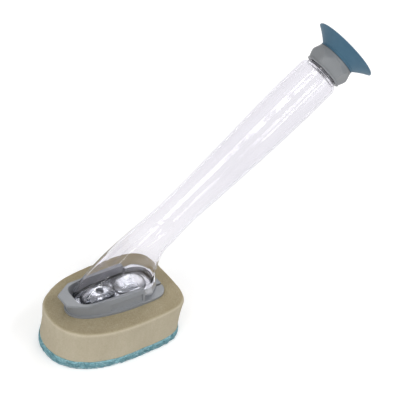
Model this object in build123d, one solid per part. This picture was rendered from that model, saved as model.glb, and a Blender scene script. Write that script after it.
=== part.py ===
from build123d import *
import os
from math import atan2, cos, degrees, pi, radians, sin

# Dish wand: a clear, refillable handle whose foot slides into the cradle of a sponge refill.
# The origin is on the scouring pad's flat underside, below the middle of the sponge's top. +Z is up,
# -X is the nose of the head, and the handle rises towards +X. Sizes are in millimetres, angles in degrees.

# Fits shared by all the pieces
running_gap = 0.2       # between faces that slide or turn on each other
side_gap = 0.3          # beside the foot, along the cradle's rails
seat_gap = 0.05         # round a piece that sits still in its seat
overrun = 3.0           # how far a cutter runs past the face it opens

# Head: scouring pad under a cellulose sponge
head_length = 92.0
head_width = 62.0
head_widest_share = 0.115       # place of the widest section, of half the length
head_nose_power = 2.3           # rounder towards the nose
head_rear_power = 4.4           # squarer towards the rear
head_rear_draft = 1.8           # how far the head's rear end leans in at its base
pad_thickness = 5.5
pad_proud = 0.3                 # how far the pad stands out from the sponge all round
sponge_height = 24.8
sponge_draw_in = 0.4            # how far the sponge's sides pull in at half height
sponge_edge_radius = 2.4

# Cradle moulding on top of the sponge
plate_thickness = 1.6
plate_nose_x = -33.4
plate_rear_x = 35.4
plate_widest_x = 16.0
plate_width = 34.6
plate_nose_power = 2.2
plate_rear_power = 4.0
flange_margin = 0.9             # plate left bare outside the foot of the wall
wall_height = 8.5               # above the plate, at the rails' ends
rim_rise = 2.7                  # how much higher the rim stands at its nose
wall_crest_width = 27.0         # at the level of the rim's nose
wall_crest_nose_x = -34.2
wall_crest_power = 3.0
rail_end_x = 16.3               # the two rails stop here, open to the rear
brim_thickness = 1.7
brim_nose_x = -37.4
brim_nose_width = 10.6
brim_shoulder_x = -26.0
brim_shoulder_width = 24.0
brim_rear_width = 28.4
panel_depth = 0.8               # shallow panel sunk in the outside of each rail
panel_front_x = -9.0
panel_rear_x = 14.6
panel_margin = 0.9
window_radius = 7.0             # soap window through the plate, under the valve
tongue_width = 15.0             # springy tongue at the plate's rear, between two slots
tongue_slot_width = 1.4
tongue_root_x = 25.0

# Clear foot: sole plate, closed by welding it under the handle shell
sole_thickness = 2.0
skirt_nose_x = -28.4            # outline of the handle shell where it meets the sole
skirt_rear_x = 30.6
skirt_width = 22.0
skirt_nose_power = 2.5
skirt_rear_power = 3.4
skirt_rim_nose_x = -29.4        # room left for the shell at the level of the rim
skirt_rim_power = 4.6
flange_reach = 1.6              # how far the sole runs out under the rails' lips
flange_nose_reach = 0.8
collar_rear_x = 33.6            # shoulder that stops against the rails' ends
collar_width = 27.0
collar_height = 3.6
collar_taper = 20.0
collar_outline_shares = ((0.0, 0.97), (0.42, 1.0), (0.78, 0.66), (1.0, 0.24))

# Raised domes on the sole, inside the handle
valve_x = -9.0
nose_dome_front_x = -22.4
nose_dome_rear_x = 2.0
nose_dome_width = 14.6
nose_dome_height = 4.6
rear_dome_front_x = 2.6
rear_dome_rear_x = 26.0
rear_dome_width = 17.0
rear_dome_height = 2.8
dome_power = 2.4
dome_level_shares = (0.0, 0.6, 0.9, 1.0)
dome_spread_shares = (1.0, 0.9, 0.68, 0.4)

# Slit valve under the front dome, and the ring that holds it
valve_pocket_radius = 5.8
valve_pocket_depth = 3.2
outlet_radius = 2.8
valve_flange_thickness = 1.0
valve_lip_radius = 2.6
valve_lip_height = 1.3
valve_slit_width = 0.3
valve_slit_length = 3.4
retainer_bore_radius = 3.4
retainer_recess = 0.3           # the ring stays this far inside the sole's underside

# Handle shell: centre line, wall and round stations
handle_tilt = 38.0              # above the horizontal
handle_base_x = -15.7
handle_base_z = 35.2
shell_wall = 1.4
flare_end_s = 62.0              # along the centre line from its base; round from here up
flare_end_radius = 11.8
flare_front_pull_x = -22.0      # the front of the flare swells towards this place
flare_front_pull_z = 53.0
flare_rear_pull_x = 32.2        # the rear of the flare bends over near this place
flare_rear_pull_z = 57.6
flare_share_steps = (0.0, 0.2, 0.4, 0.6, 0.8)
flare_width_shares = (1.0, 1.0, 1.0, 1.0, 1.02)
flare_nose_powers = (2.5, 3.6, 3.8, 3.2, 2.5)
flare_rear_powers = (3.4, 3.1, 2.8, 2.5, 2.2)
grip_lift = 0.9                 # how far the waist sits above the straight centre line
grip_s = 80.0
grip_radius = 11.3
lower_s = 102.0
lower_radius = 11.95
middle_s = 130.0
middle_radius = 13.0
upper_s = 160.0
upper_radius = 14.0
barrel_top_s = 196.0
barrel_radius = 14.25
barrel_steps = 10

# Neck, thread and cap, measured along the centre line
shoulder_s = 205.1
shoulder_radius = 14.2
shoulder_round = 3.0
shoulder_ledge = 0.12           # the shoulder starts this far inside the end of the barrel
neck_radius = 10.6
neck_bore_radius = 9.3
neck_length = 8.4
bead_sink = 0.1                 # how far the bead's foot is below the top of the shoulder
bead_radius = 11.8
bead_height = 1.0
thread_drop = 5.0               # from the top of the neck down to the thread's start
thread_pitch = 3.2
thread_turns = 1.2
thread_depth = 0.8
thread_root_width = 1.8
thread_crest_width = 0.8
thread_bury = 0.3
thread_gap = 0.28

cap_foot_gap = 1.8              # from the shoulder up to the cap
cap_bead_radius = 13.4
cap_bead_height = 1.0
cap_groove_radius = 13.1
cap_flank_radius = 14.2
cap_flank_share = 0.275         # heights on the cap, of its whole height
cap_bulge_radius = 14.9
cap_bulge_share = 0.508
cap_shoulder_radius = 14.1
cap_shoulder_share = 0.75
cap_top_radius = 13.4
cap_top_round = 0.5
cap_top_thickness = 1.5
cap_facets = 6
cap_facet_turn = 42.9           # turns the facets about the centre line
facet_depth = 1.4               # at the bulge, in the middle of a facet
facet_foot_depth = 0.8          # beside the bead
facet_crown_depth = 0.1         # where the facets fade out
facet_crown_share = 0.867
chamber_radius = 9.0
gasket_thickness = 1.6
gasket_gap = 0.1

# Suction cup, snapped into the cap by its own stud
stud_radius = 4.0
stud_head_radius = 5.8
stud_head_thickness = 1.5
stud_head_gap = 0.4             # between the stud's head and the shelf that holds the gasket
cup_base_radius = 13.3
cup_base_height = 0.5
cup_waist_radius = 13.1
cup_waist_height = 1.3
cup_rim_radius = 22.9
cup_depth = 9.1                 # from the cap's top to the rim's edge
cup_rim_thickness = 1.6
cup_rim_flat = 0.8              # width of the flat sealing ring
cup_centre_thickness = 3.0
cup_hollow_share = 0.25         # height of the hollow's middle, of its whole depth

# Levels that follow from the sizes above
sponge_base_z = pad_thickness
sponge_top_z = sponge_base_z + sponge_height
plate_top_z = sponge_top_z + plate_thickness
sole_base_z = plate_top_z + running_gap
sole_top_z = sole_base_z + sole_thickness
lip_base_z = sole_top_z + side_gap
wall_top_z = plate_top_z + wall_height
barrel_end_s = shoulder_s - shoulder_round
neck_top_s = shoulder_s + neck_length
bead_s = shoulder_s - bead_sink
thread_start_s = neck_top_s - thread_drop
cap_bore_radius = neck_radius + side_gap
cap_bottom_s = shoulder_s + cap_foot_gap
cap_seat_s = neck_top_s + gasket_thickness + 2 * gasket_gap
cap_roof_s = cap_seat_s + stud_head_gap + stud_head_thickness + running_gap
cap_top_s = cap_roof_s + cap_top_thickness
cap_height = cap_top_s - cap_bottom_s
rim_tilt = degrees(atan2(rim_rise, rail_end_x - brim_nose_x))
outline_points = 28

along = Vector(cos(radians(handle_tilt)), 0, sin(radians(handle_tilt)))
above = Vector(-sin(radians(handle_tilt)), 0, cos(radians(handle_tilt)))
handle_base = Vector(handle_base_x, 0, handle_base_z)
handle_frame = Plane(origin=handle_base, x_dir=above * -1, z_dir=along)


def oval_points(front, rear, widest, half_width, front_power, rear_power):
    """Points of a closed outline from x = front to x = rear, widest at x = widest."""
    points = []
    for step in range(outline_points):
        turn = 2 * pi * step / outline_points
        c, s = cos(turn), sin(turn)
        power = rear_power if c > 0 else front_power
        reach = rear - widest if c > 0 else widest - front
        k = (abs(c) ** power + abs(s) ** power) ** (-1 / power)
        points.append((widest + reach * k * c, half_width * k * s))
    return points


def oval(*sizes):
    return make_face(Spline(*oval_points(*sizes), periodic=True))


def half_oval(*sizes):
    """The half of an oval with y above zero."""
    points = oval_points(*sizes)[1:outline_points // 2]
    rear, front = (sizes[1], 0), (sizes[0], 0)
    arc = Spline(rear, *points, front, tangents=[(0, 1), (0, -1)])
    return make_face([arc, Line(front, rear)])


def at_height(face, z):
    return Location((0, 0, z)) * face


def on_handle(shape):
    """Place a shape drawn round Z, with Z counted along the handle's centre line."""
    return handle_frame.location * shape


def turned(*profile):
    """Solid of revolution round Z of a closed outline given as (radius, height) points."""
    outline = Polyline(*[(r, 0, z) for r, z in profile], close=True)
    return revolve(make_face(outline), Axis.Z)


def side_polygon(half_outline):
    """Flat outline mirrored about y = 0, from points with y at or above zero."""
    near = [(x, -y) for x, y in half_outline if y > 0]
    return make_face(Polyline(*near, *reversed(half_outline), close=True))


def box_between(low, high):
    size = [b - a for a, b in zip(low, high)]
    return Location(tuple(low)) * Box(*size, align=(Align.MIN, Align.MIN, Align.MIN))


# Head

def head_outline(grow, rear_cut):
    half = head_length / 2
    return oval(-half - grow, half + grow - rear_cut, head_widest_share * half, head_width / 2 + grow,
                head_nose_power, head_rear_power)


def make_pad():
    return extrude(head_outline(pad_proud, head_rear_draft), amount=pad_thickness)


def make_sponge():
    levels = ((sponge_base_z, 0, head_rear_draft),
              (sponge_base_z + sponge_height / 2, -sponge_draw_in, head_rear_draft / 2),
              (sponge_top_z, 0, 0))
    block = loft([at_height(head_outline(grow, rear_cut), z) for z, grow, rear_cut in levels])
    top = block.faces().sort_by(Axis.Z)[-1]
    return fillet(top.edges(), sponge_edge_radius)


# Cradle

def plate_outline(inset):
    return oval(plate_nose_x + inset, plate_rear_x - inset, plate_widest_x, plate_width / 2 - inset,
                plate_nose_power, plate_rear_power)


def wall_block(inset):
    foot = plate_outline(flange_margin + inset)
    rear = plate_rear_x - flange_margin - inset
    crest = oval(wall_crest_nose_x + inset, rear, plate_widest_x, wall_crest_width / 2 - inset,
                 wall_crest_power, plate_rear_power)
    return loft([at_height(foot, plate_top_z), at_height(crest, wall_top_z + rim_rise)])


def past_rim(drop, side):
    """Block on one side of the tilted plane of the rim, lowered by a distance."""
    reach = 2 * head_length
    block = Box(reach, reach, reach, align=(Align.CENTER, Align.CENTER, side))
    return Location((rail_end_x, 0, wall_top_z - drop), (0, rim_tilt, 0)) * block


def skirt_outline(nose_x, half_width, nose_power):
    return oval(nose_x, skirt_rear_x, 0, half_width, nose_power, skirt_rear_power)


def flange_outline(grow):
    return skirt_outline(skirt_nose_x - flange_nose_reach - grow, skirt_width / 2 + flange_reach + grow,
                         skirt_nose_power)


def straight_run(half_width, low, high):
    return box_between((0, -half_width, low), (plate_rear_x + overrun, half_width, high))


def flange_channel():
    """Room for the sole's flange to slide in from the rear, under the rails' lips."""
    nose = extrude(at_height(flange_outline(side_gap), plate_top_z), amount=lip_base_z - plate_top_z)
    return nose + straight_run(skirt_width / 2 + flange_reach + side_gap, plate_top_z, lip_base_z)


def shell_channel():
    """Room for the handle shell between the rails, blunter at the rim than at the sole."""
    half_width = skirt_width / 2 + side_gap
    high = wall_top_z + rim_rise
    low_edge = skirt_outline(skirt_nose_x - side_gap, half_width, skirt_nose_power)
    high_edge = skirt_outline(skirt_rim_nose_x - side_gap, half_width, skirt_rim_power)
    nose = loft([at_height(low_edge, plate_top_z), at_height(high_edge, high)])
    return nose + straight_run(half_width, plate_top_z, high)


def make_cradle():
    plate = extrude(at_height(plate_outline(0), sponge_top_z), amount=plate_thickness)
    wall = wall_block(0)
    panel_zone = box_between((panel_front_x, -plate_width, plate_top_z + panel_margin),
                             (panel_rear_x, plate_width, wall_top_z - brim_thickness - panel_margin))
    wall -= panel_zone - wall_block(panel_depth)
    brim = side_polygon([(brim_nose_x, brim_nose_width / 2), (brim_shoulder_x, brim_shoulder_width / 2),
                         (rail_end_x, brim_rear_width / 2)])
    brim_block = extrude(at_height(brim, plate_top_z), amount=wall_height + rim_rise)
    wall += brim_block - past_rim(brim_thickness, Align.MAX)
    wall -= past_rim(0, Align.MIN)
    wall -= box_between((rail_end_x, -plate_width, plate_top_z),
                        (plate_rear_x + overrun, plate_width, wall_top_z + overrun))
    wall = wall - flange_channel() - shell_channel()
    window = extrude(Location((valve_x, 0, sponge_top_z)) * Circle(window_radius), amount=plate_thickness)
    plate -= window
    for side in (-1, 1):
        slot_y = side * tongue_width / 2 - tongue_slot_width / 2
        plate -= box_between((tongue_root_x, slot_y, sponge_top_z),
                             (plate_rear_x + overrun, slot_y + tongue_slot_width, plate_top_z))
    return plate + wall


# Body of the handle

def centre_at(s, lift):
    return handle_base + along * s + above * lift


def pulled(start, pull, end, share):
    """Point on the curve from start to end that bends towards pull."""
    return start * (1 - share) ** 2 + pull * (2 * share * (1 - share)) + end * share ** 2


def flare_section(share, width_share, nose_power, rear_power, inset):
    """Half of one section of the flare between the flat sole and the round barrel."""
    round_centre = centre_at(flare_end_s, grip_lift)
    front_start = Vector(skirt_nose_x, 0, sole_top_z)
    rear_start = Vector(skirt_rear_x, 0, sole_top_z)
    front_pull = Vector(flare_front_pull_x, 0, flare_front_pull_z)
    rear_pull = Vector(flare_rear_pull_x, 0, flare_rear_pull_z)
    front = pulled(front_start, front_pull, round_centre + above * flare_end_radius, share)
    rear = pulled(rear_start, rear_pull, round_centre - above * flare_end_radius, share)
    across = (rear - front).normalized()
    middle = (front + rear) / 2
    half = (rear - front).length / 2 - inset
    widest = -middle.X * (1 - share) ** 2
    plane = Plane(origin=middle, x_dir=across, z_dir=across.cross(Vector(0, 1, 0)))
    half_width = width_share * skirt_width / 2 - inset
    return plane * half_oval(-half, half, widest, half_width, nose_power, rear_power)


def round_section(s, radius, lift):
    plane = Plane(origin=centre_at(s, lift), x_dir=above * -1, z_dir=along)
    return plane * half_oval(-radius, radius, 0, radius, 2, 2)


def half_barrel(inset):
    """Half of the handle's body, from the flat sole to the shoulder, drawn in by a distance."""
    stations = Spline((flare_end_s, flare_end_radius, grip_lift), (grip_s, grip_radius, grip_lift),
                      (lower_s, lower_radius, grip_lift / 2), (middle_s, middle_radius, 0),
                      (upper_s, upper_radius, 0), (barrel_top_s, barrel_radius, 0))
    steps = zip(flare_share_steps, flare_width_shares, flare_nose_powers, flare_rear_powers)
    sections = [flare_section(*step, inset) for step in steps]
    for step in range(barrel_steps + 1):
        s, radius, lift = tuple(stations @ (step / barrel_steps))
        sections.append(round_section(s, radius - inset, lift))
    sections.append(round_section(barrel_end_s, shoulder_radius - inset, 0))
    return loft(sections)


# Clear foot

def collar_face():
    length = collar_rear_x - rail_end_x - side_gap
    outline = []
    for along_share, width_share in collar_outline_shares:
        x = rail_end_x + side_gap + length * along_share
        outline.append((x, collar_width / 2 * width_share))
    return side_polygon(outline)


def dome(front, rear, width, height):
    """Smooth swelling on top of the sole, lofted through ovals that draw in as they rise."""
    middle = (front + rear) / 2
    sections = []
    for level_share, spread_share in zip(dome_level_shares, dome_spread_shares):
        reach = (rear - front) / 2 * spread_share
        face = oval(middle - reach, middle + reach, middle, width / 2 * spread_share, dome_power, dome_power)
        sections.append(at_height(face, sole_top_z + height * level_share))
    return loft(sections)


def make_sole():
    flange = extrude(at_height(flange_outline(0), sole_base_z), amount=sole_thickness)
    flange -= box_between((rail_end_x + side_gap, -plate_width, sole_base_z - overrun),
                          (plate_rear_x + overrun, plate_width, sole_top_z + overrun))
    collar_foot = extrude(at_height(collar_face(), sole_base_z), amount=sole_thickness)
    collar = extrude(at_height(collar_face(), sole_top_z), amount=collar_height, taper=collar_taper)
    half_socket = half_barrel(-seat_gap)
    sole = flange + collar_foot + (collar - half_socket - mirror(half_socket, Plane.XZ))
    sole += dome(nose_dome_front_x, nose_dome_rear_x, nose_dome_width, nose_dome_height)
    sole += dome(rear_dome_front_x, rear_dome_rear_x, rear_dome_width, rear_dome_height)
    pocket = extrude(Circle(valve_pocket_radius), amount=valve_pocket_depth)
    outlet = extrude(Circle(outlet_radius), amount=sole_thickness + nose_dome_height + overrun)
    return sole - Location((valve_x, 0, sole_base_z)) * (pocket + outlet)


def make_valve():
    roof_z = sole_base_z + valve_pocket_depth - seat_gap
    flange_z = roof_z - valve_flange_thickness
    lip_z = flange_z - valve_lip_height
    valve = turned((0, roof_z), (valve_pocket_radius - seat_gap, roof_z),
                   (valve_pocket_radius - seat_gap, flange_z), (valve_lip_radius, flange_z),
                   (valve_lip_radius - valve_slit_width, lip_z), (0, lip_z))
    slit = box_between((-valve_slit_length / 2, -valve_slit_width / 2, lip_z - overrun),
                       (valve_slit_length / 2, valve_slit_width / 2, roof_z + overrun))
    return Location((valve_x, 0, 0)) * (valve - slit)


def make_retainer():
    low = sole_base_z + retainer_recess
    high = sole_base_z + valve_pocket_depth - valve_flange_thickness - 2 * seat_gap
    outer = valve_pocket_radius - seat_gap
    ring = turned((retainer_bore_radius, low), (outer, low), (outer, high), (retainer_bore_radius, high))
    return Location((valve_x, 0, 0)) * ring


# Handle shell

def thread_solid(start_s, height, grow):
    """Helical rib of the neck, or, grown, the groove that it runs in."""
    path = Helix(pitch=thread_pitch, height=height, radius=neck_radius)
    root = thread_root_width / 2 + grow
    crest = thread_crest_width / 2 + grow
    profile = make_face(Polyline((-thread_bury - grow, -root), (thread_depth + grow, -crest),
                                 (thread_depth + grow, crest), (-thread_bury - grow, root), close=True))
    section = Plane(origin=path @ 0, x_dir=(1, 0, 0), z_dir=path % 0) * profile
    rib = sweep(section, path=path, is_frenet=True)
    phase = degrees(2 * pi * (start_s - thread_start_s) / thread_pitch)
    return Location((0, 0, start_s), (0, 0, phase)) * rib


def ring(radius, s, height):
    """Round-edged bead on the neck."""
    edge = height / 4
    return turned((neck_bore_radius, s), (radius - edge, s), (radius, s + edge),
                  (radius, s + height - edge), (radius - edge, s + height), (neck_bore_radius, s + height))


def shoulder_and_neck(widest, rounding, radius, top_s):
    """Solid of revolution with a round shoulder, from the end of the barrel to the top of the neck."""
    shoulder = CenterArc((widest - rounding, barrel_end_s), rounding, 0, 90)
    sides = Polyline(shoulder @ 1, (radius, (shoulder @ 1).Y), (radius, top_s), (0, top_s),
                     (0, barrel_end_s), shoulder @ 0)
    return revolve(Plane.XZ * make_face([shoulder, sides]), Axis.Z)


def make_shell():
    half_wall = half_barrel(0) - half_barrel(shell_wall)
    wall = half_wall + mirror(half_wall, Plane.XZ)
    widest = shoulder_radius - shoulder_ledge
    neck = shoulder_and_neck(widest, shoulder_round, neck_radius, neck_top_s)
    neck += ring(bead_radius, bead_s, bead_height)
    neck += thread_solid(thread_start_s, thread_pitch * thread_turns, 0)
    bore = shoulder_and_neck(widest - shell_wall, shoulder_round - shell_wall, neck_bore_radius,
                             neck_top_s + overrun)
    return wall + on_handle(neck - bore)


# Cap and suction cup

def make_cap():
    round_off = cap_top_round
    groove_s = cap_bottom_s + cap_bead_height
    flank_s = cap_bottom_s + cap_flank_share * cap_height
    bulge_s = cap_bottom_s + cap_bulge_share * cap_height
    cap_shoulder_s = cap_bottom_s + cap_shoulder_share * cap_height
    crown_s = cap_bottom_s + facet_crown_share * cap_height
    bead = Polyline((0, 0, cap_top_s), (0, 0, cap_bottom_s),
                    (cap_bead_radius - round_off / 2, 0, cap_bottom_s),
                    (cap_bead_radius, 0, cap_bottom_s + round_off / 2),
                    (cap_bead_radius, 0, groove_s - round_off / 2), (cap_groove_radius, 0, groove_s))
    flank = Spline((cap_groove_radius, 0, groove_s), (cap_flank_radius, 0, flank_s),
                   (cap_bulge_radius, 0, bulge_s), (cap_shoulder_radius, 0, cap_shoulder_s),
                   (cap_top_radius, 0, cap_top_s - round_off))
    crown = Polyline((cap_top_radius, 0, cap_top_s - round_off), (cap_top_radius - round_off, 0, cap_top_s),
                     (0, 0, cap_top_s))
    body = revolve(make_face([bead, flank, crown]), Axis.Z)
    far = 2 * cap_bulge_radius
    facet_foot = (cap_groove_radius - facet_foot_depth, 0, groove_s)
    facet_crown = (cap_top_radius - facet_crown_depth, 0, crown_s)
    facet = Spline(facet_foot, (cap_flank_radius - facet_depth, 0, flank_s),
                   (cap_bulge_radius - facet_depth, 0, bulge_s), facet_crown)
    outer = Polyline(facet_crown, (far, 0, crown_s), (far, 0, groove_s), facet_foot)
    cutter = extrude(make_face([facet, outer]), amount=far, both=True)
    for number in range(cap_facets):
        body -= Location((0, 0, 0), (0, 0, cap_facet_turn + 360 * number / cap_facets)) * cutter
    inside = turned((0, cap_bottom_s - overrun), (cap_bore_radius, cap_bottom_s - overrun),
                    (cap_bore_radius, cap_seat_s), (chamber_radius, cap_seat_s),
                    (chamber_radius, cap_roof_s), (stud_radius + side_gap, cap_roof_s),
                    (stud_radius + side_gap, cap_top_s + overrun), (0, cap_top_s + overrun))
    groove_start = cap_bottom_s - thread_pitch / 2
    groove_end = thread_start_s + thread_pitch * thread_turns + thread_gap
    groove = thread_solid(groove_start, groove_end - groove_start, thread_gap)
    return on_handle(body - inside - groove)


def make_gasket():
    low = neck_top_s + gasket_gap
    high = low + gasket_thickness
    radius = cap_bore_radius - running_gap
    return on_handle(turned((0, low), (radius, low), (radius, high), (0, high)))


def make_suction_cup():
    base_s = cap_top_s + running_gap / 2
    head_high = cap_roof_s - running_gap
    head_low = head_high - stud_head_thickness
    rim_s = cap_top_s + cup_depth
    waist_s = cap_top_s + cup_waist_height
    hollow_s = base_s + cup_centre_thickness
    flare_mid = Vector((cup_waist_radius + cup_rim_radius) / 2, 0, (waist_s + rim_s) / 2)
    round_off = cup_rim_thickness / 2
    outside = Spline((cup_waist_radius, 0, waist_s), flare_mid, (cup_rim_radius, 0, rim_s - round_off))
    edge_radius = cup_rim_radius - round_off
    edge_drop = round_off * (1 - sin(radians(45)))
    edge = ThreePointArc((cup_rim_radius, 0, rim_s - round_off),
                         (cup_rim_radius - edge_drop, 0, rim_s - edge_drop), (edge_radius, 0, rim_s))
    inner_radius = edge_radius - cup_rim_flat
    rim = Line((edge_radius, 0, rim_s), (inner_radius, 0, rim_s))
    inner_mid = ((inner_radius + stud_radius) / 2, 0, hollow_s + (rim_s - hollow_s) * cup_hollow_share)
    inside = Spline((inner_radius, 0, rim_s), inner_mid, (stud_radius, 0, hollow_s),
                    tangents=[(-1, 0, -1), (-1, 0, 0)])
    stem = Polyline((stud_radius, 0, hollow_s), (0, 0, hollow_s), (0, 0, head_low),
                    (stud_head_radius - stud_head_thickness / 2, 0, head_low),
                    (stud_head_radius, 0, head_high), (stud_radius, 0, head_high), (stud_radius, 0, base_s),
                    (cup_base_radius, 0, base_s), (cup_base_radius, 0, base_s + cup_base_height),
                    (cup_waist_radius, 0, waist_s))
    face = make_face([stem, outside, edge, rim, inside])
    return on_handle(revolve(face, Axis.Z))


os.makedirs("parts", exist_ok=True)
pieces = {
    "scouring_pad": make_pad(),
    "sponge": make_sponge(),
    "refill_cradle": make_cradle(),
    "foot_sole": make_sole(),
    "slit_valve": make_valve(),
    "valve_retainer": make_retainer(),
    "handle_shell": make_shell(),
    "screw_cap": make_cap(),
    "cap_gasket": make_gasket(),
    "suction_cup": make_suction_cup(),
}
for name, shape in pieces.items():
    export_step(shape, f"parts/{name}.step")
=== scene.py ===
import random
from math import cos, pi, radians, sin

import bpy
from mathutils import Matrix, Vector, noise


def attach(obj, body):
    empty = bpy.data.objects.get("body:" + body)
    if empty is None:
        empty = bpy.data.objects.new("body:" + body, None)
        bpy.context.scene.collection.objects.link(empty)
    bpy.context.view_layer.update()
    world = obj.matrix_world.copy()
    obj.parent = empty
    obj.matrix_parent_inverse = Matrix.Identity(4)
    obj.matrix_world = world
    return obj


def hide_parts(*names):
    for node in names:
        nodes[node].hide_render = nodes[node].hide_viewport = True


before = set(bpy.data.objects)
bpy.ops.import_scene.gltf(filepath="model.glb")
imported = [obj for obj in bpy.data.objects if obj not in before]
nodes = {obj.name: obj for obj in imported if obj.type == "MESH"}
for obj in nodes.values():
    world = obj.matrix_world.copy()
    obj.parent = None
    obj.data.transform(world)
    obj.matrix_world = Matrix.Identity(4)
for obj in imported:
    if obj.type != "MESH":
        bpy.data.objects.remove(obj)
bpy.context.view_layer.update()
scene = bpy.context.scene
MM = 0.001
TINY = 1e-6
UP = Vector((0, 0, 1))

# Handle, as in the CAD source

HANDLE_LEAN = radians(38)
HANDLE_AXIS = Vector((cos(HANDLE_LEAN), 0, sin(HANDLE_LEAN)))
HANDLE_MIDDLE = Vector((70, 0, 100)) * MM

# Outline and heights of the head, as in the CAD source

HEAD_HALF_LENGTH = 46.0 * MM
HEAD_HALF_WIDTH = 31.0 * MM
HEAD_WIDEST_SHARE = 0.115
HEAD_NOSE_POWER = 2.3
HEAD_REAR_POWER = 4.4
HEAD_REAR_DRAFT = 1.8 * MM
PAD_HIGH = 5.5 * MM
SPONGE_LOW = PAD_HIGH
SPONGE_HIGH = 30.3 * MM

# Camera, fitted to the photograph's outlines

CAMERA_AZIMUTH = radians(-42.929)
CAMERA_ELEVATION = radians(39.23)
CAMERA_ROLL = radians(10.469)
CAMERA_AIM = Vector((101.929, 42.413, 40.0)) * MM
CAMERA_DISTANCE = 1000.9 * MM
FOCAL_LENGTH_PER_WIDTH = 3.61075
SENSOR_WIDTH = 36
TO_CAMERA = Vector((sin(CAMERA_AZIMUTH) * cos(CAMERA_ELEVATION),
                    -cos(CAMERA_AZIMUTH) * cos(CAMERA_ELEVATION), sin(CAMERA_ELEVATION)))


def make_camera():
    level = (-TO_CAMERA).cross(UP).normalized()
    upright = level.cross(-TO_CAMERA)
    right = level * cos(CAMERA_ROLL) + upright * sin(CAMERA_ROLL)
    up = upright * cos(CAMERA_ROLL) - level * sin(CAMERA_ROLL)
    data = bpy.data.cameras.new("camera")
    data.sensor_width = SENSOR_WIDTH
    data.lens = SENSOR_WIDTH * FOCAL_LENGTH_PER_WIDTH
    data.clip_start = 0.01
    data.clip_end = 20
    camera = bpy.data.objects.new("camera", data)
    turned = Matrix((right, up, TO_CAMERA)).transposed().to_4x4()
    camera.matrix_world = Matrix.Translation(CAMERA_AIM + TO_CAMERA * CAMERA_DISTANCE) @ turned
    scene.collection.objects.link(camera)
    scene.camera = camera


make_camera()


# Materials

def tone(r, g, b):
    """Linear colour of a screen colour given from 0 to 255, for all but nearly black ones."""
    return tuple(((v / 255 + 0.055) / 1.055) ** 2.4 for v in (r, g, b)) + (1,)


class Finish:
    """A node material: a Principled shader with textures in metres of the object's own space."""

    def __init__(self, name, **sockets):
        self.material = bpy.data.materials.new(name)
        self.material.use_nodes = True
        self.tree = self.material.node_tree
        self.shader = self.tree.nodes["Principled BSDF"]
        for key, value in sockets.items():
            self.shader.inputs[key.replace("_", " ")].default_value = value
        self.place = self.tree.nodes.new("ShaderNodeTexCoord").outputs["Object"]

    def node(self, kind, inputs=None, **settings):
        made = self.tree.nodes.new("ShaderNode" + kind)
        for key, value in settings.items():
            setattr(made, key, value)
        for key, value in (inputs or {}).items():
            if isinstance(value, bpy.types.NodeSocket):
                self.tree.links.new(value, made.inputs[key])
            else:
                made.inputs[key].default_value = value
        return made

    def noise(self, scale, detail=4.0, roughness=0.6, stretch=(1, 1, 1), distortion=0.0):
        place = self.node("Mapping", {"Vector": self.place, "Scale": stretch}).outputs[0]
        return self.node("TexNoise", {"Vector": place, "Scale": scale, "Detail": detail,
                                      "Roughness": roughness, "Distortion": distortion}).outputs["Fac"]

    def cells(self, scale):
        return self.node("TexVoronoi", {"Vector": self.place, "Scale": scale}).outputs["Distance"]

    def along(self, axis):
        """The object's X, Y or Z, in metres."""
        return self.node("SeparateXYZ", {0: self.place}).outputs[axis]

    def span(self, value, low, high, to_low=0.0, to_high=1.0):
        return self.node("MapRange", {"Value": value, "From Min": low, "From Max": high,
                                      "To Min": to_low, "To Max": to_high}).outputs["Result"]

    def math(self, operation, first, second):
        return self.node("Math", {0: first, 1: second}, operation=operation).outputs["Value"]

    def mix(self, share, first, second):
        made = self.node("Mix", data_type="RGBA")
        for socket, value in zip((made.inputs[0], made.inputs[6], made.inputs[7]), (share, first, second)):
            if isinstance(value, bpy.types.NodeSocket):
                self.tree.links.new(value, socket)
            else:
                socket.default_value = value
        return made.outputs[2]

    def clouded(self, cloud, first, second):
        """Two near colours, blended by a slow noise."""
        return self.mix(self.span(cloud, 0.3, 0.7), first, second)

    def bump(self, height, depth, under=None):
        inputs = {"Height": height, "Distance": depth}
        if under is not None:
            inputs["Normal"] = under
        return self.node("Bump", inputs).outputs["Normal"]

    def soft_edges(self, radius):
        return self.node("Bevel", {"Radius": radius}, samples=6).outputs["Normal"]

    def connect(self, **sockets):
        for key, value in sockets.items():
            self.tree.links.new(value, self.shader.inputs[key.replace("_", " ")])
        return self.material


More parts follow.
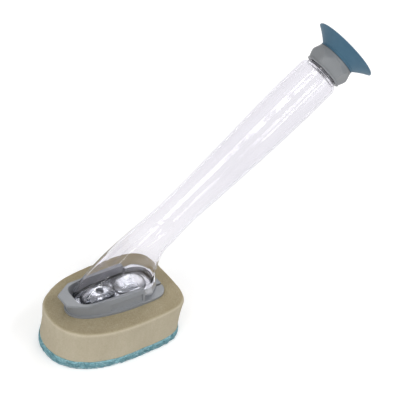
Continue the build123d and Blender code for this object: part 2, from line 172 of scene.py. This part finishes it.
def sponge_finish():
    """Fine open cells, faint cutting streaks down the sides, painted shade in the pores and on the top, and a
    painted highlight along the top rim.
    """
    f = Finish("sponge_cells", Roughness=0.95, Specular_IOR_Level=0.1)
    blotch = f.noise(60, detail=3)
    streaks = f.noise(420, detail=3, stretch=(1, 1, 0.1))
    grain = f.noise(1600, detail=5, roughness=0.75)
    pores = f.cells(900)
    small_pores = f.cells(1900)
    height = f.along("Z")
    side = f.clouded(blotch, tone(185, 176, 155), tone(176, 166, 145))
    side = f.mix(f.span(streaks, 0.4, 0.75, 0.0, 0.45), side, tone(170, 160, 136))
    # Painted highlight: a light band along the top rim of the sides.
    painted_rim_highlight = f.span(height, SPONGE_HIGH - 2.0 * MM, SPONGE_HIGH - 1.0 * MM, 0.0, 0.3)
    side = f.mix(painted_rim_highlight, side, tone(212, 202, 178))
    # Painted shade: the top is given a darker colour than the sides.
    upper = f.clouded(blotch, tone(163, 151, 124), tone(153, 141, 113))
    colour = f.mix(f.span(height, SPONGE_HIGH - 0.9 * MM, SPONGE_HIGH - 0.15 * MM), side, upper)
    colour = f.mix(f.span(grain, 0.45, 0.75, 0.0, 0.6), colour, tone(204, 195, 172))
    # Painted shade in the pores: the middles of the cells are darkened.
    colour = f.mix(f.span(pores, 0.0, 0.25, 0.4, 0.0), colour, tone(122, 108, 82))
    normal = f.bump(f.span(pores, 0.0, 0.35), 0.22 * MM)
    normal = f.bump(f.span(small_pores, 0.0, 0.4), 0.1 * MM, under=normal)
    normal = f.bump(grain, 0.12 * MM, under=normal)
    return f.connect(Base_Color=colour, Normal=normal)


def pad_finish():
    """Matted fibres that run in two directions, with painted highlight where they lie on top of each other
    and painted shade between.
    """
    f = Finish("scouring_fibres", Roughness=0.85, Specular_IOR_Level=0.2)
    along = f.noise(900, stretch=(0.25, 1, 1), distortion=0.6)
    across = f.noise(900, stretch=(1, 0.25, 0.8), distortion=0.6)
    clumps = f.noise(260, detail=3)
    colour = f.clouded(clumps, tone(124, 178, 190), tone(156, 204, 213))
    # Painted highlight on the upper fibres.
    colour = f.mix(f.span(along, 0.5, 0.68), colour, tone(188, 222, 228))
    # Painted shade in the gaps between the fibres.
    colour = f.mix(f.span(across, 0.35, 0.5, 0.8, 0.0), colour, tone(84, 130, 143))
    normal = f.bump(along, 0.5 * MM)
    normal = f.bump(across, 0.5 * MM, under=normal)
    normal = f.bump(clumps, 0.6 * MM, under=normal)
    return f.connect(Base_Color=colour, Normal=normal)


def moulded(name, colour, second, roughness, grain_depth):
    """Satin moulded plastic with a fine spark-eroded grain and softened edges."""
    f = Finish(name)
    grain = f.noise(2600, detail=3)
    cloud = f.noise(45)
    mixed = f.clouded(cloud, colour, second)
    rough = f.span(cloud, 0.3, 0.7, roughness - 0.05, roughness + 0.06)
    normal = f.bump(grain, grain_depth, under=f.soft_edges(0.25 * MM))
    return f.connect(Base_Color=mixed, Roughness=rough, Normal=normal)


def clear_finish(name, upper, lower, ior, ripple):
    """Polished clear plastic. The gloss is a coat with the flow ripples of a moulding."""
    f = Finish(name, Roughness=0.02, IOR=ior, Transmission_Weight=1.0,
               Coat_Weight=0.65, Coat_Roughness=0.03, Coat_IOR=1.5)
    # Painted light: the tint turns paler towards the lower end, lifting the shade seen through it there.
    climb = f.node("VectorMath", {0: f.place, 1: HANDLE_AXIS}, operation="DOT_PRODUCT").outputs["Value"]
    colour = f.mix(f.span(climb, 60 * MM, 130 * MM), lower, upper)
    flow = f.noise(45, detail=2, stretch=(0.6, 1, 1))
    depth = f.node("VolumeAbsorption", {"Color": (0.5, 0.48, 0.62, 1), "Density": 22.0})
    f.tree.links.new(depth.outputs["Volume"], f.tree.nodes["Material Output"].inputs["Volume"])
    return f.connect(Base_Color=colour, Coat_Normal=f.bump(flow, ripple))


def silvery_finish(name, colour, second, collar_colour):
    """Clear plastic with painted reflection: silver colours for the light turned back inside its thick domes.
    """
    f = Finish(name, Roughness=0.14, Transmission_Weight=0.3, Coat_Weight=0.8, Coat_Roughness=0.05)
    length = f.along("X")
    collar = f.span(length, 15 * MM, 21 * MM)
    swirl = f.noise(130, distortion=1.4)
    blotch = f.span(swirl, 0.44, 0.6)
    calmer_rear = f.span(length, 0.0, 8 * MM, 1.0, 0.45)
    # Painted reflection: dark blotches on the silver, calmer towards the rear.
    mixed = f.mix(f.math("MULTIPLY", blotch, calmer_rear), colour, second)
    # The collar's paler grey is painted light too.
    mixed = f.mix(collar, mixed, collar_colour)
    depth = f.span(length, 0.0, 8 * MM, 0.9 * MM, 0.35 * MM)
    metallic = f.span(collar, 0.0, 1.0, 0.8, 0.3)
    return f.connect(Base_Color=mixed, Metallic=metallic, Normal=f.bump(swirl, depth))


def rubber(name, colour, second, roughness, depth):
    """Soft rubber with a dull, uneven sheen."""
    f = Finish(name, Specular_IOR_Level=0.22)
    cloud = f.noise(90, detail=5)
    grain = f.noise(1800, detail=2)
    mixed = f.clouded(cloud, colour, second)
    rough = f.span(cloud, 0.3, 0.7, roughness - 0.05, roughness + 0.08)
    normal = f.bump(grain, depth, under=f.soft_edges(0.2 * MM))
    return f.connect(Base_Color=mixed, Roughness=rough, Normal=normal)


def dress(node, material):
    for place in nodes[node].material_slots:
        place.material = material
    for polygon in nodes[node].data.polygons:
        polygon.use_smooth = True


dress("refill_cradle", moulded("cradle_plastic", tone(134, 137, 141), tone(128, 131, 136), 0.34, 0.02 * MM))
# The clear foot's silver colours are painted reflection.
dress("foot_sole", silvery_finish("clear_foot", tone(176, 179, 184), tone(98, 104, 113), tone(196, 198, 203)))
dress("slit_valve", rubber("valve_rubber", tone(206, 208, 212), tone(196, 199, 204), 0.5, 0.02 * MM))
dress("valve_retainer",
      moulded("retainer_plastic", tone(222, 224, 228), tone(214, 217, 222), 0.4, 0.015 * MM))
# The paler second tint of the shell is painted light on its lower part.
dress("handle_shell", clear_finish("clear_shell", tone(243, 242, 245), tone(249, 248, 250), 1.03, 0.08 * MM))
dress("screw_cap", moulded("cap_plastic", tone(136, 139, 142), tone(129, 132, 135), 0.36, 0.025 * MM))
dress("cap_gasket", rubber("gasket_rubber", tone(84, 86, 90), tone(76, 78, 82), 0.6, 0.02 * MM))
dress("suction_cup", rubber("suction_rubber", tone(76, 111, 133), tone(70, 104, 126), 0.45, 0.015 * MM))


# Rings that follow the head's outline

def head_outline(turn, grow, z):
    """Point of the head's outline at a height, drawn out by a distance."""
    c = cos(turn)
    s = sin(turn)
    power = HEAD_REAR_POWER if c > 0 else HEAD_NOSE_POWER
    widest = HEAD_WIDEST_SHARE * HEAD_HALF_LENGTH
    draft = HEAD_REAR_DRAFT * min(1.0, max(0.0, (SPONGE_HIGH - z) / (SPONGE_HIGH - SPONGE_LOW)))
    reach = HEAD_HALF_LENGTH + grow + (-widest - draft if c > 0 else widest)
    k = (abs(c) ** power + abs(s) ** power) ** (-1 / power)
    return widest + reach * k * c, (HEAD_HALF_WIDTH + grow) * k * s


def even_turns(count):
    """Turns round the outline whose points are evenly spaced along it."""
    parts = 4000
    fine = [head_outline(2 * pi * i / parts, 0, SPONGE_HIGH) for i in range(parts + 1)]
    run = [0.0]
    for a, b in zip(fine, fine[1:]):
        run.append(run[-1] + ((a[0] - b[0]) ** 2 + (a[1] - b[1]) ** 2) ** 0.5)
    turns = []
    place = 0
    for i in range(count):
        while run[place + 1] < run[-1] * i / count:
            place += 1
        turns.append(2 * pi * place / parts)
    return turns


def arc_levels(z, grow, radius, start, end, steps):
    """Levels of a rounded edge, from one angle to another, in degrees above the horizontal."""
    levels = []
    for step in range(steps + 1):
        angle = radians(start + (end - start) * step / steps)
        levels.append((z + radius * sin(angle), grow - radius + radius * cos(angle), 1.0))
    return levels


def flat_levels(z, grow, steps, upward):
    """Levels of a flat end, from its middle outwards, or inwards where the solid is closed upward."""
    shares = [(step + 1) / (steps + 1) for step in range(steps)]
    if upward:
        shares = [1 - s for s in shares]
    return [(z, grow, share) for share in shares]


def add_mesh(name, verts, faces):
    mesh = bpy.data.meshes.new(name)
    mesh.from_pydata(verts, [], faces)
    mesh.polygons.foreach_set("use_smooth", [True] * len(mesh.polygons))
    piece = bpy.data.objects.new(name, mesh)
    scene.collection.objects.link(piece)
    return piece


def ringed_mesh(name, count, levels, roughen):
    """Closed solid of rings. A level is (height, growth of the outline, share of the outline)."""
    turns = even_turns(count)
    verts = []
    faces = []
    for z, grow, share in levels:
        for turn in turns:
            x, y = head_outline(turn, grow, z)
            verts.append(roughen(Vector((x * share, y * share, z))))
    for ring in range(len(levels) - 1):
        for i in range(count):
            j = (i + 1) % count
            a = ring * count
            b = a + count
            faces.append((a + i, a + j, b + j, b + i))
    for ring, flip in ((0, True), (len(levels) - 1, False)):
        first = ring * count
        centre = len(verts)
        verts.append(roughen(Vector((0, 0, levels[ring][0]))))
        for i in range(count):
            edge = (first + i, first + (i + 1) % count)
            faces.append((edge[1], edge[0], centre) if flip else (edge[0], edge[1], centre))
    return add_mesh(name, verts, faces)


def outward_at(p):
    """Level direction away from the middle of the head, turned towards the nearer long side."""
    outward = Vector((p.x, p.y * 1.6, 0))
    if outward.length > TINY:
        outward.normalize()
    return outward


# Sponge

SPONGE_EDGE = 2.4 * MM
SPONGE_LOW_EDGE = 0.8 * MM
SPONGE_LOW_INSET = 1.2 * MM
SPONGE_DRAW_IN = 0.4 * MM
SPONGE_SIDE_RINGS = 40
SPONGE_ROUND_COUNT = 380
SPONGE_WAVE = 0.25 * MM
SPONGE_CELL = 0.07 * MM
SPONGE_SINK = 0.12 * MM
SPONGE_TOP_CELL = 0.06 * MM
SPONGE_TOP_SINK = 0.05 * MM
SPONGE_FLAT_SHARE = 0.35


def sponge_surface(p):
    """The sponge's slow waviness and fine cells, weaker on its flat ends."""
    is_top = abs(p.z - SPONGE_HIGH) <= TINY
    is_flat = is_top or abs(p.z - SPONGE_LOW) <= TINY
    slow = noise.fractal(p * 70, 0.6, 2.0, 3)
    fine = noise.fractal(p * 900, 0.7, 2.0, 3)
    strength = SPONGE_FLAT_SHARE if is_flat else 1.0
    shift = outward_at(p) * (slow * SPONGE_WAVE + fine * SPONGE_CELL - SPONGE_SINK) * strength
    if is_top:
        shift.z -= SPONGE_TOP_SINK + SPONGE_TOP_CELL * abs(fine)
    return p + shift


def make_sponge():
    low = SPONGE_LOW + SPONGE_LOW_EDGE
    high = SPONGE_HIGH - SPONGE_EDGE
    levels = flat_levels(SPONGE_LOW, -SPONGE_LOW_INSET, 12, False)
    levels += arc_levels(low, 0, SPONGE_LOW_EDGE, -90, 0, 3)
    for step in range(1, SPONGE_SIDE_RINGS):
        share = step / SPONGE_SIDE_RINGS
        levels.append((low + (high - low) * share, -SPONGE_DRAW_IN * sin(pi * share), 1.0))
    levels += arc_levels(high, 0, SPONGE_EDGE, 0, 90, 8)
    levels += flat_levels(SPONGE_HIGH, -SPONGE_EDGE, 30, True)
    piece = ringed_mesh("sponge_block", SPONGE_ROUND_COUNT, levels, sponge_surface)
    piece.data.materials.append(sponge_finish())
    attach(piece, "refill")
    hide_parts("sponge")


# Scouring pad

PAD_LOW = 0.35 * MM
PAD_GROW = 0.25 * MM
PAD_EDGE = 0.3 * MM
PAD_LOW_EDGE = 0.9 * MM
PAD_LOW_INSET = 0.6 * MM
PAD_SIDE_RINGS = 16
PAD_ROUND_COUNT = 460
PAD_CLUMP = 0.35 * MM
PAD_MATTING = 0.18 * MM
PAD_SINK = 0.1 * MM
PAD_LOW_SINK = 0.25 * MM
PAD_UNDER_CLUMP = 0.15 * MM
PAD_UNDER_MATTING = 0.25 * MM
PAD_TOP_SHARE = 0.4


def pad_surface(p):
    """Clumps and matted fibres, which also leave the underside uneven."""
    clump = noise.fractal(p * 260, 0.7, 2.0, 4)
    matting = noise.fractal(Vector((p.x * 300, p.y * 1400, p.z * 1400)), 0.8, 2.0, 3)
    sink = PAD_SINK + PAD_LOW_SINK * max(0.0, 1 - p.z / PAD_HIGH)
    shift = outward_at(p) * (clump * PAD_CLUMP + matting * PAD_MATTING - sink)
    if p.z < PAD_LOW + TINY:
        shift.z += abs(matting) * PAD_UNDER_MATTING + abs(clump) * PAD_UNDER_CLUMP
    if p.z > PAD_HIGH - TINY:
        shift = shift * PAD_TOP_SHARE
    return p + shift


def make_pad_body(finish):
    low = PAD_LOW + PAD_LOW_EDGE
    high = PAD_HIGH - PAD_EDGE
    levels = flat_levels(PAD_LOW, -PAD_LOW_INSET, 40, False)
    levels += arc_levels(low, PAD_GROW, PAD_LOW_EDGE, -90, 0, 4)
    for step in range(1, PAD_SIDE_RINGS):
        levels.append((low + (high - low) * step / PAD_SIDE_RINGS, PAD_GROW, 1.0))
    levels += arc_levels(high, PAD_GROW, PAD_EDGE, 0, 90, 2)
    levels += flat_levels(PAD_HIGH, PAD_GROW - PAD_EDGE, 6, True)
    piece = ringed_mesh("scouring_pad_body", PAD_ROUND_COUNT, levels, pad_surface)
    piece.data.materials.append(finish)
    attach(piece, "refill")
    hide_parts("scouring_pad")


# Strands of the pad. A pair holds the least and the greatest value

FIBRE_SEED = 7
FIBRE_STEPS = 4
FIBRE_CORNERS = 3
EDGE_FIBRES = 3600
EDGE_FIBRE_HEIGHTS = (0.3 * MM, 5.2 * MM)
EDGE_FIBRE_LENGTHS = (1.2 * MM, 3.8 * MM)
EDGE_FIBRE_RISES = (-0.8, 0.8)
EDGE_FIBRE_BULGES = (0.05 * MM, 0.55 * MM)
EDGE_FIBRE_RADII = (0.07 * MM, 0.13 * MM)
EDGE_FIBRE_SINK = 0.25 * MM
EDGE_FIBRE_WAVE = 0.3 * MM
EDGE_FIBRE_LOWEST = 0.15 * MM
EDGE_FIBRE_HIGHEST = 5.4 * MM
UNDERSIDE_FIBRES = 2600
UNDERSIDE_INSET = 0.5 * MM
UNDERSIDE_REACH_SHARE = 0.985
UNDERSIDE_FIBRE_LENGTHS = (1.5 * MM, 4.5 * MM)
UNDERSIDE_FIBRE_BENDS = (-0.8, 0.8)
UNDERSIDE_FIBRE_RADII = (0.07 * MM, 0.12 * MM)
UNDERSIDE_FIBRE_ENDS = 0.3 * MM
UNDERSIDE_FIBRE_DIP = 0.18 * MM


def edge_fibre(chance):
    """Points and radius of a strand that lies across the pad's edge and bows out of it."""
    turn = chance.uniform(0, 2 * pi)
    z = chance.uniform(*EDGE_FIBRE_HEIGHTS)
    x, y = head_outline(turn, PAD_GROW, z)
    next_x, next_y = head_outline(turn + 0.02, PAD_GROW, z)
    ahead = Vector((next_x - x, next_y - y, 0)).normalized()
    outward = ahead.cross(UP)
    length = chance.uniform(*EDGE_FIBRE_LENGTHS)
    rise = chance.uniform(*EDGE_FIBRE_RISES)
    sense = chance.choice((-1, 1))
    bulge = chance.uniform(*EDGE_FIBRE_BULGES)
    direction = (ahead * sense + UP * rise).normalized()
    points = []
    for step in range(FIBRE_STEPS + 1):
        share = step / FIBRE_STEPS
        lift = bulge * sin(pi * share) - EDGE_FIBRE_SINK
        p = Vector((x, y, z)) + direction * length * (share - 0.5) + outward * lift
        height = p.z + EDGE_FIBRE_WAVE * sin(3 * share + turn * 40)
        p.z = min(max(height, EDGE_FIBRE_LOWEST), EDGE_FIBRE_HIGHEST)
        points.append(p)
    return points, chance.uniform(*EDGE_FIBRE_RADII)


def underside_fibre(chance):
    """Points and radius of a bent strand that lies flat under the pad."""
    turn = chance.uniform(0, 2 * pi)
    share = chance.uniform(0, 1) ** 0.5 * UNDERSIDE_REACH_SHARE
    x, y = head_outline(turn, -UNDERSIDE_INSET, 0)
    heading = chance.uniform(0, 2 * pi)
    length = chance.uniform(*UNDERSIDE_FIBRE_LENGTHS)
    bend = chance.uniform(*UNDERSIDE_FIBRE_BENDS)
    points = []
    for step in range(FIBRE_STEPS + 1):
        place = step / FIBRE_STEPS
        reach = length * (place - 0.5)
        angle = heading + bend * (place - 0.5)
        z = UNDERSIDE_FIBRE_ENDS - UNDERSIDE_FIBRE_DIP * sin(pi * place)
        points.append(Vector((x * share + reach * cos(angle), y * share + reach * sin(angle), z)))
    return points, chance.uniform(*UNDERSIDE_FIBRE_RADII)


def add_strand(verts, faces, points, radius):
    """Closed three-sided tube along a few points."""
    first = len(verts)
    for i, p in enumerate(points):
        ahead = points[min(i + 1, len(points) - 1)] - points[max(i - 1, 0)]
        across = ahead.cross(Vector((0.3, 0.2, 1))).normalized()
        other = ahead.cross(across).normalized()
        for corner in range(FIBRE_CORNERS):
            angle = 2 * pi * corner / FIBRE_CORNERS
            verts.append(p + (across * cos(angle) + other * sin(angle)) * radius)
    for i in range(len(points) - 1):
        for corner in range(FIBRE_CORNERS):
            a = first + FIBRE_CORNERS * i + corner
            b = first + FIBRE_CORNERS * i + (corner + 1) % FIBRE_CORNERS
            faces.append((a, b, b + FIBRE_CORNERS, a + FIBRE_CORNERS))
    last = len(verts) - FIBRE_CORNERS
    faces.append((first, first + 2, first + 1))
    faces.append((last, last + 1, last + 2))


def make_pad_fibres(finish):
    chance = random.Random(FIBRE_SEED)
    verts = []
    faces = []
    for _ in range(EDGE_FIBRES):
        add_strand(verts, faces, *edge_fibre(chance))
    for _ in range(UNDERSIDE_FIBRES):
        add_strand(verts, faces, *underside_fibre(chance))
    fibres = add_mesh("scouring_pad_fibres", verts, faces)
    fibres.data.materials.append(finish)
    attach(fibres, "refill")


make_sponge()
pad_material = pad_finish()
make_pad_body(pad_material)
make_pad_fibres(pad_material)


# Studio

FLOOR_HALF = 6.0
FLOOR_SHADE = 0.86
FLOOR_GLOW = 0.3
WORLD_DIFFUSE = 0.42
WORLD_GLOSSY = 0.7
WORLD_SEEN = 1.0


def make_floor():
    """White floor that keeps the shadow. It glows a little where it is seen, also through the shell."""
    corners = ((-1, -1), (1, -1), (1, 1), (-1, 1))
    floor = add_mesh("floor", [(FLOOR_HALF * x, FLOOR_HALF * y, 0) for x, y in corners], [(0, 1, 2, 3)])
    f = Finish("floor_white", Roughness=1.0, Specular_IOR_Level=0.0)
    f.shader.inputs["Base Color"].default_value = (FLOOR_SHADE, FLOOR_SHADE, FLOOR_SHADE, 1)
    f.shader.inputs["Emission Color"].default_value = (1, 1, 1, 1)
    rays = f.node("LightPath").outputs
    seen = f.math("MAXIMUM", rays["Is Camera Ray"], rays["Is Transmission Ray"])
    f.connect(Emission_Strength=f.span(seen, 0.0, 1.0, 0.0, FLOOR_GLOW))
    floor.data.materials.append(f.material)


def make_world():
    """White surroundings when looked at, and softer ones for reflections and for matt surfaces."""
    world = bpy.data.worlds.new("studio")
    scene.world = world
    world.use_nodes = True
    tree = world.node_tree
    background = tree.nodes["Background"]
    path = tree.nodes.new("ShaderNodeLightPath")
    glossy = tree.nodes.new("ShaderNodeMapRange")
    tree.links.new(path.outputs["Is Glossy Ray"], glossy.inputs["Value"])
    glossy.inputs["To Min"].default_value = WORLD_SEEN
    glossy.inputs["To Max"].default_value = WORLD_GLOSSY
    strength = tree.nodes.new("ShaderNodeMapRange")
    tree.links.new(path.outputs["Is Diffuse Ray"], strength.inputs["Value"])
    tree.links.new(glossy.outputs["Result"], strength.inputs["To Min"])
    strength.inputs["To Max"].default_value = WORLD_DIFFUSE
    background.inputs["Color"].default_value = (1, 1, 1, 1)
    tree.links.new(strength.outputs["Result"], background.inputs["Strength"])


make_floor()
make_world()


# Lamps

LAMP_AIM = Vector((50, 0, 50)) * MM
BACK_LAMP_AIM = Vector((0, 0, 30)) * MM
WINDOW_DISTANCE = 1.3
WINDOW_POWER_PER_AREA = 5.8 * pi

# Panes whose reflections are the streaks on the handle: turn round the handle from the camera's side in
# degrees, shift along the handle, length and width
WINDOWS = ((-23, 0.3, 0.075, 0.34), (-25, 0.2, 0.07, 0.34), (-26, 0.107, 0.045, 0.34), (-28, 0.0, 0.13, 0.24),
           (-29, -0.75, 0.7, 0.4), (43, 0.39, 0.6, 0.16))


def area_lamp(name, place, turned, width, height, power):
    data = bpy.data.lights.new(name, "AREA")
    data.shape = "RECTANGLE"
    data.size = width
    data.size_y = height
    data.energy = power
    lamp = bpy.data.objects.new(name, data)
    lamp.matrix_world = Matrix.Translation(place) @ turned
    scene.collection.objects.link(lamp)


def make_lamp(name, place, aim, width, height, power):
    turned = (aim - Vector(place)).to_track_quat("-Z", "Y").to_matrix().to_4x4()
    area_lamp(name, Vector(place), turned, width, height, power)


def make_window(name, turn, shift, length, width):
    """Lamp that shines on the handle as a bright pane, turned round the handle from the camera's side."""
    side = HANDLE_AXIS.cross(TO_CAMERA)
    toward = TO_CAMERA * cos(radians(turn)) + side * sin(radians(turn))
    across = HANDLE_AXIS.cross(toward).normalized()
    turned = Matrix((HANDLE_AXIS, -across, toward)).transposed().to_4x4()
    place = HANDLE_MIDDLE + toward * WINDOW_DISTANCE + HANDLE_AXIS * shift
    area_lamp(name, place, turned, length, width, WINDOW_POWER_PER_AREA * length * width)


for number, (turn, shift, length, width) in enumerate(WINDOWS):
    make_window("window_%d" % number, turn, shift, length, width)
make_lamp("key_lamp", (0.45, -1.2, 0.5), LAMP_AIM, 0.35, 0.9, 2.4)
make_lamp("nose_lamp", (-1.0, -0.65, 0.55), LAMP_AIM, 0.2, 0.8, 2.6)
make_lamp("top_lamp", (0.6, -0.5, 1.1), LAMP_AIM, 0.7, 0.22, 3.3)
make_lamp("back_lamp", (0.66, 0.7, 0.79), BACK_LAMP_AIM, 0.6, 0.6, 2.8)

scene.view_settings.view_transform = "Standard"
